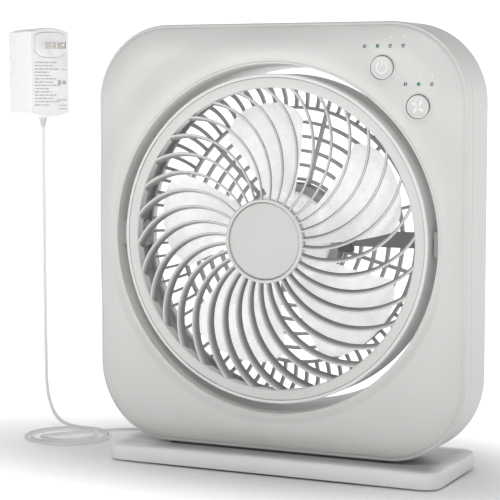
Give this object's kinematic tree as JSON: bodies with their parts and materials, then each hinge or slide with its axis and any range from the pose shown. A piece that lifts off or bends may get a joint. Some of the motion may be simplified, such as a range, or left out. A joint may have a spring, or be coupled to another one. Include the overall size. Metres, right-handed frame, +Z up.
{
  "type": "box fan",
  "caption": "Square-cased table fan with a round tilting head, swirled front grille, flat base, push buttons and a corded wall adapter.",
  "frame": {"origin": "on the table, under the middle of the fan's own box (cord and adapter left out)", "axes": "+X to the fan's right seen from the front, +Y to the back, +Z up; the grille faces -Y"},
  "size_m": [0.4818, 0.1568, 0.3885],
  "materials": {
    "white_plastic": "satin",
    "grey_plastic": "matte",
    "dark_grey_plastic": "matte",
    "black_plastic": "matte",
    "frosted_plastic": "frosted",
    "rubber": "matte",
    "screw_steel": "bright",
    "shaft_steel": "ground",
    "motor_steel": "satin",
    "bronze": "satin",
    "blade_metal": "plated",
    "board": "matte",
    "lens_white": "frosted",
    "lens_lit": "lit",
    "cord": "satin"
  },
  "bodies": {
    "housing": {"front_shell": "white_plastic", "rear_shell": "white_plastic", "housing_screws": "screw_steel", "base_cover": "white_plastic", "base_plate": "white_plastic", "rubber_feet": "rubber", "base_screws": "screw_steel", "stand_neck": "grey_plastic", "stand_screws": "screw_steel", "control_board": "board", "board_screws": "screw_steel", "tact_switches": "black_plastic", "indicator_lights_off": "lens_white", "indicator_lights_lit": "lens_lit", "pivot_blocks": "black_plastic", "pivot_pins": "grey_plastic", "dc_jack": "black_plastic", "adapter_front_case": "white_plastic", "adapter_rear_case": "white_plastic", "adapter_board": "board", "plug_module": "white_plastic", "plug_blades": "blade_metal", "strain_relief": "grey_plastic", "cord_drop": "cord", "cord_coil": "cord", "cord_tail": "cord", "dc_plug": "black_plastic"},
    "head": {"head_ring": "white_plastic", "rear_grille": "white_plastic", "motor_cup": "dark_grey_plastic", "wire_conduit": "dark_grey_plastic", "motor_can": "motor_steel", "front_bearing": "bronze", "rear_bearing": "bronze", "motor_screws": "screw_steel", "grille_screws": "screw_steel", "pivot_bushes": "grey_plastic", "friction_washers": "rubber"},
    "grille": {"front_grille": "white_plastic", "hub_cap": "white_plastic"},
    "impeller": {"impeller": "frosted_plastic", "motor_shaft": "shaft_steel", "motor_rotor": "motor_steel", "impeller_nut": "black_plastic"},
    "timer_button": {"timer_button": "white_plastic"},
    "speed_button": {"speed_button": "white_plastic"}
  },
  "joints": [
    {"name": "head_tilt", "type": "hinge", "parent": "housing", "child": "head", "pos_m": [0, -0.0186, 0.202], "axis": [1, 0, 0], "range_deg": [-90, 90]},
    {"name": "grille_twist", "type": "hinge", "parent": "head", "child": "grille", "pos_m": [0, -0.0406, 0.202], "axis": [0, -1, 0], "range_deg": [0, 16]},
    {"name": "impeller_spin", "type": "hinge", "parent": "head", "child": "impeller", "pos_m": [0, -0.0186, 0.202], "axis": [0, 1, 0], "continuous": true},
    {"name": "timer_press", "type": "slide", "parent": "housing", "child": "timer_button", "axis": [0, 1, 0], "range_m": [0, 0.0012], "stiffness_N_per_m": 300, "springref_m": -0.001},
    {"name": "speed_press", "type": "slide", "parent": "housing", "child": "speed_button", "axis": [0, 1, 0], "range_m": [0, 0.0012], "stiffness_N_per_m": 300, "springref_m": -0.001}
  ]
}
